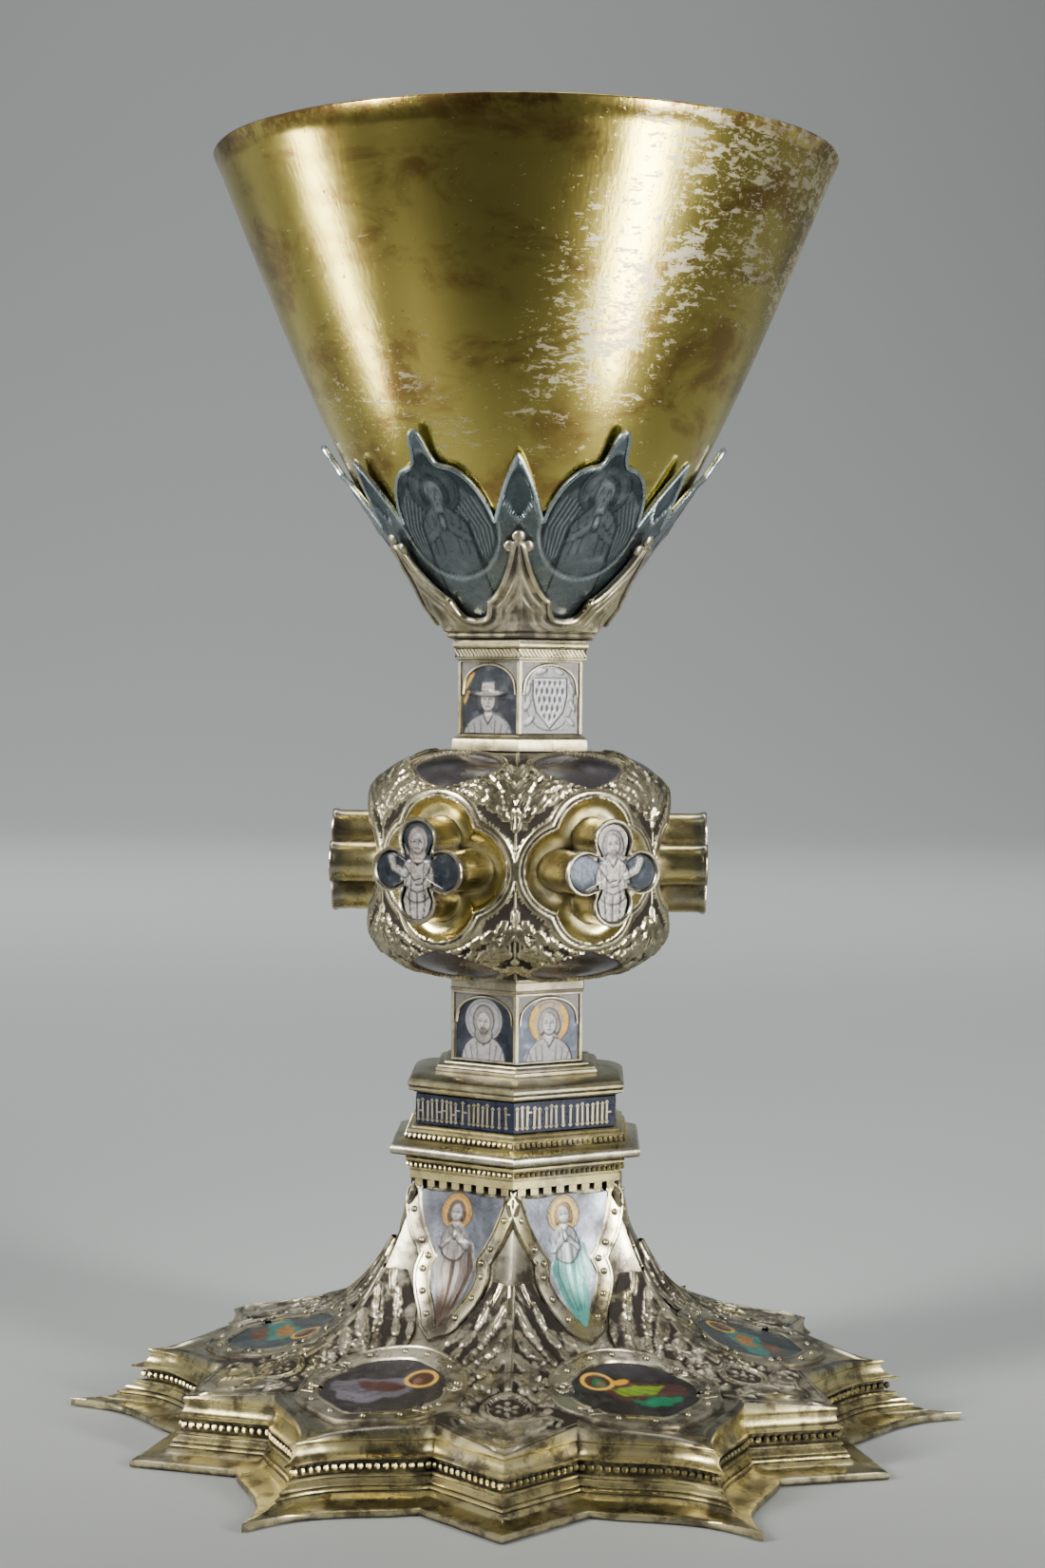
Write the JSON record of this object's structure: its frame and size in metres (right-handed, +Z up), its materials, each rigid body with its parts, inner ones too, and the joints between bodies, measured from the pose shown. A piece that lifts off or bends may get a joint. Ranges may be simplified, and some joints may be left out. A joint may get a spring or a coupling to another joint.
{
  "type": "chalice",
  "caption": "Gothic silver-gilt chalice: conical cup in a petal calyx and pierced crown, six-sided stem, lobed knop and a star-shaped hollow foot.",
  "frame": {"origin": "centre of the underside of the foot, on the table", "axes": "+Z up along the stem, -Y towards a star point of the foot, +X towards a pointed lobe"},
  "size_m": [0.155, 0.141, 0.216],
  "materials": {
    "silver_gilt": "worn gilding over silver, brown in the hollows",
    "gilding": "polished gilding, worn through in streaks",
    "enamel": "worn translucent enamel over engraved silver",
    "oxidised_silver": "blue-grey oxidised silver"
  },
  "bodies": {
    "root": {"foot": "silver_gilt", "neck_plate_1": "enamel", "neck_plate_2": "enamel", "neck_plate_3": "enamel", "neck_plate_4": "enamel", "neck_plate_5": "enamel", "neck_plate_6": "enamel", "lobe_plate_1": "enamel", "lobe_plate_2": "enamel", "lobe_plate_3": "enamel", "lobe_plate_4": "enamel", "lobe_plate_5": "enamel", "lobe_plate_6": "enamel", "collar": "silver_gilt", "inscription_band": "enamel", "collar_cap": "silver_gilt", "lower_stem": "silver_gilt", "lower_stem_plate_1": "enamel", "lower_stem_plate_2": "enamel", "lower_stem_plate_3": "enamel", "lower_stem_plate_4": "enamel", "lower_stem_plate_5": "enamel", "lower_stem_plate_6": "enamel", "knop": "gilding", "boss_plate_1": "enamel", "boss_plate_2": "enamel", "boss_plate_3": "enamel", "boss_plate_4": "enamel", "boss_plate_5": "enamel", "boss_plate_6": "enamel", "upper_stem": "silver_gilt", "upper_stem_plate_1": "enamel", "upper_stem_plate_2": "enamel", "upper_stem_plate_3": "enamel", "upper_stem_plate_4": "enamel", "upper_stem_plate_5": "enamel", "upper_stem_plate_6": "enamel", "crown": "silver_gilt", "calyx": "oxidised_silver", "cup": "gilding"}
  },
  "joints": []
}
